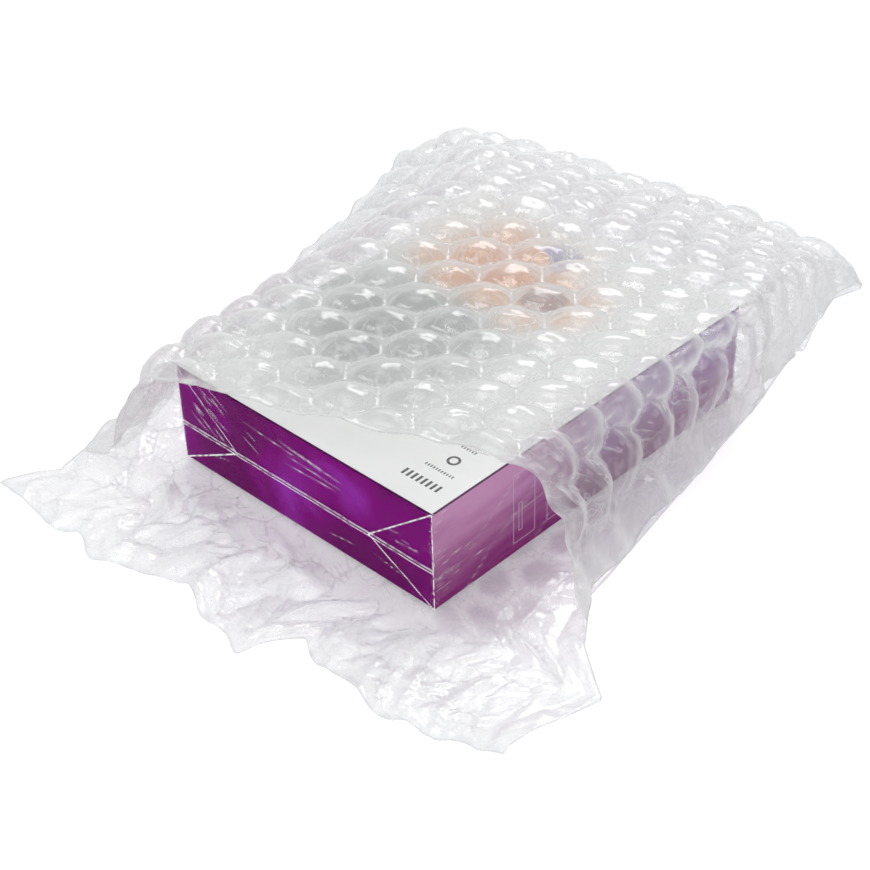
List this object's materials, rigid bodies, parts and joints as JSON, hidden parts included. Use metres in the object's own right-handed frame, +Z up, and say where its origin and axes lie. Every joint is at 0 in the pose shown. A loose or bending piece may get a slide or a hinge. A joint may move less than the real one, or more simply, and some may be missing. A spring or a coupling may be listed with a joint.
{
  "type": "carton wrapped in air bubble cushion film",
  "caption": "Sealed retail carton in clear overwrap, lying in a folded sheet of inflated air-cushion film with an open mouth and a limp front skirt.",
  "frame": {"origin": "under the middle of the whole pack's box, on the surface it rests on", "axes": "+Z up, +Y along the carton's long side from the open mouth to the back fold, +X to the right as seen from the mouth"},
  "size_m": [0.5308, 0.598, 0.0962],
  "materials": {
    "printed_board": "gloss-varnished carton board, printed deep purple",
    "white_print": "gloss-varnished white ground",
    "grey_print": "gloss-varnished print",
    "peach_print": "gloss-varnished print",
    "violet_print": "gloss-varnished print",
    "brown_print": "gloss-varnished print",
    "dark_print": "gloss-varnished print",
    "clear_overwrap": "clear heat-sealed polypropylene overwrap, glossy and tight",
    "air_cushion_film": "clear, slightly hazy polyethylene film, glossy, crinkled round every cell"
  },
  "bodies": {
    "root": {"carton": "printed_board", "print_white": "white_print", "print_grey": "grey_print", "print_peach": "peach_print", "print_violet": "violet_print", "print_brown": "brown_print", "print_marks": "dark_print", "overwrap": "clear_overwrap", "cushion_film": "air_cushion_film"}
  },
  "joints": []
}
